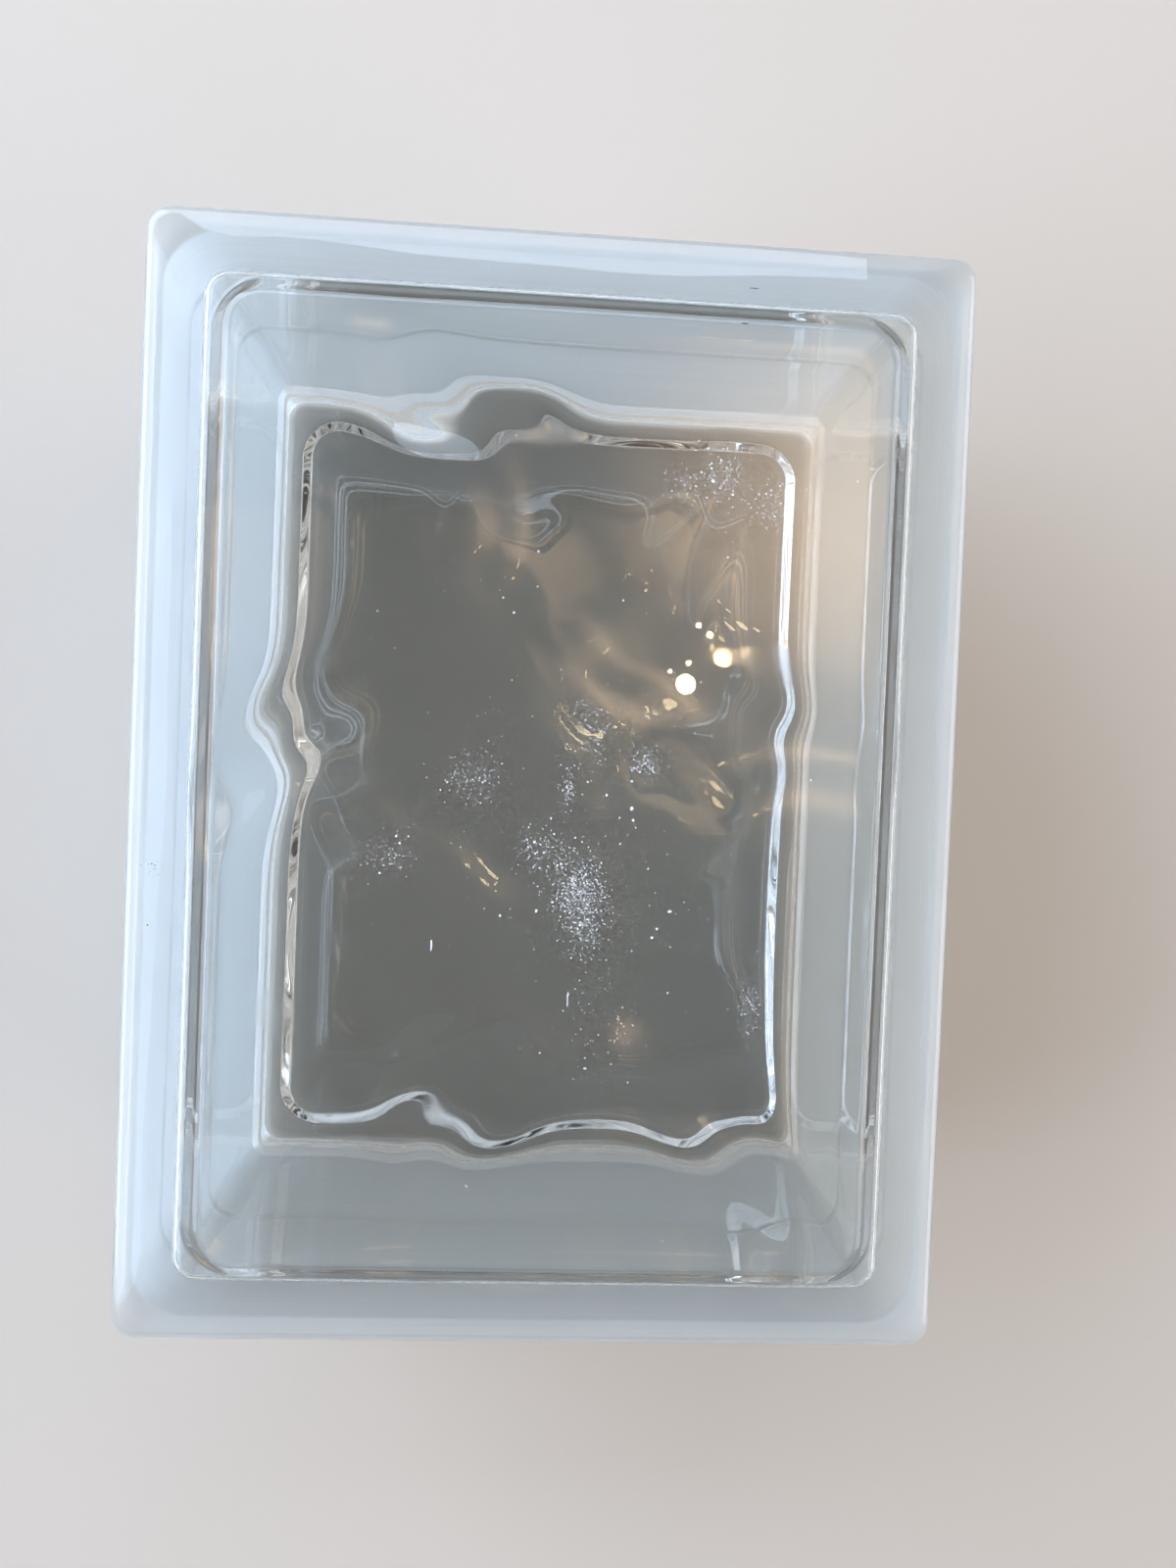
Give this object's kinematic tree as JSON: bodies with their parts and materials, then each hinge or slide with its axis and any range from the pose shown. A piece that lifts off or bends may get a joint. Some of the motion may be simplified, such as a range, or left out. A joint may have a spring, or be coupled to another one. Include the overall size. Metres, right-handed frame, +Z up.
{
  "type": "glass block",
  "caption": "Hollow rectangular glass wall block with raised wavy panes, sloping flanges round both faces, a recessed mortar key and a pale edge coating, lying on one face",
  "frame": {"origin": "centre of the lower face's raised panel, where the block rests on a level floor", "axes": "+X across the block's width, +Y along its length, +Z up through its thickness to the upper face"},
  "size_m": [0.146, 0.1968, 0.0984],
  "materials": {
    "clear_glass": "clear pressed soda-lime glass, fire polished outside, with soft wave ridges inside and a faint blue-green tint",
    "edge_film": "thin pale whitish film brushed on the mortar edges, matt outside and milky where it shows through the glass"
  },
  "bodies": {
    "root": {"glass_block": "clear_glass", "edge_coating": "edge_film"}
  },
  "joints": []
}
